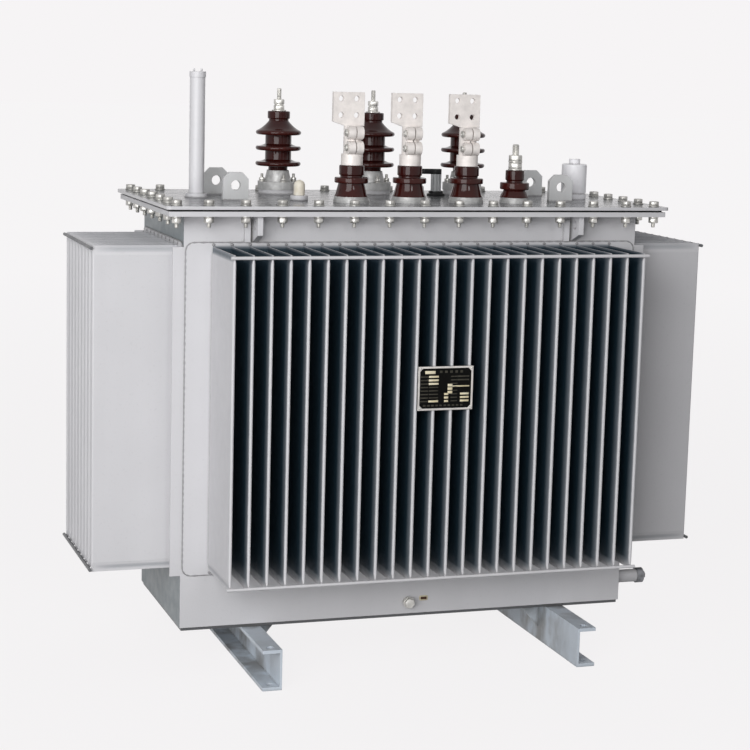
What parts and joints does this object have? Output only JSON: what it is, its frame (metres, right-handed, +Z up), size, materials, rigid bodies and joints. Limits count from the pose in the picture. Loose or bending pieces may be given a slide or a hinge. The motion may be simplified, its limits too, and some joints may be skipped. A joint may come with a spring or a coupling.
{
  "type": "oil-filled power transformer",
  "caption": "Oil-filled distribution transformer: a box tank on channel feet with finned corrugated walls, a bolted cover with porcelain bushings, flat terminals and lifting lugs.",
  "frame": {"origin": "on the floor under the middle of the tank", "axes": "+Z up, +X along the tank, -Y towards the low-voltage front"},
  "size_m": [1.616, 0.896, 1.464],
  "materials": {
    "tank_paint": "satin light grey paint",
    "gasket_rubber": "matte black rubber",
    "brown_glaze": "glossy dark brown glaze",
    "tinned_metal": "dull tinned metal",
    "cast_clamp": "plain cast metal",
    "black_plastic": "matte black",
    "grey_plastic": "ribbed grey",
    "plate_enamel": "black enamel with a bare metal border",
    "zinc": "zinc plated"
  },
  "bodies": {
    "root": {"base_channel_left": "tank_paint", "base_channel_right": "tank_paint", "channel_gussets": "tank_paint", "tank_floor": "tank_paint", "tank_walls": "tank_paint", "tank_rim": "tank_paint", "cover_gasket": "gasket_rubber", "cover": "tank_paint", "corrugated_wall_front": "tank_paint", "corrugated_wall_back": "tank_paint", "corrugated_wall_left": "tank_paint", "corrugated_wall_right": "tank_paint", "corner_strips": "tank_paint", "fin_tie_rods_upper": "tank_paint", "fin_tie_rods_lower": "tank_paint", "tank_lugs": "tank_paint", "tank_lug_pads": "tank_paint", "cover_lugs": "tank_paint", "hv_seats": "tank_paint", "hv_clamp_rings": "cast_clamp", "hv_porcelain_a": "brown_glaze", "hv_porcelain_b": "brown_glaze", "hv_porcelain_c": "brown_glaze", "hv_terminal_a": "tinned_metal", "hv_terminal_b": "tinned_metal", "hv_terminal_c": "tinned_metal", "lv_base_rings": "cast_clamp", "lv_porcelain_a": "brown_glaze", "lv_porcelain_b": "brown_glaze", "lv_porcelain_c": "brown_glaze", "lv_terminal_a": "tinned_metal", "lv_terminal_b": "tinned_metal", "lv_terminal_c": "tinned_metal", "neutral_base_ring": "cast_clamp", "neutral_porcelain": "brown_glaze", "neutral_terminal": "tinned_metal", "oil_gauge_tube": "tank_paint", "relief_valve": "tank_paint", "thermometer_pocket": "tank_paint", "tap_changer": "grey_plastic", "tap_changer_handle": "black_plastic", "drain_pipe": "tank_paint", "drain_cap": "cast_clamp", "earth_boss": "zinc", "rating_plate": "plate_enamel"}
  },
  "joints": []
}
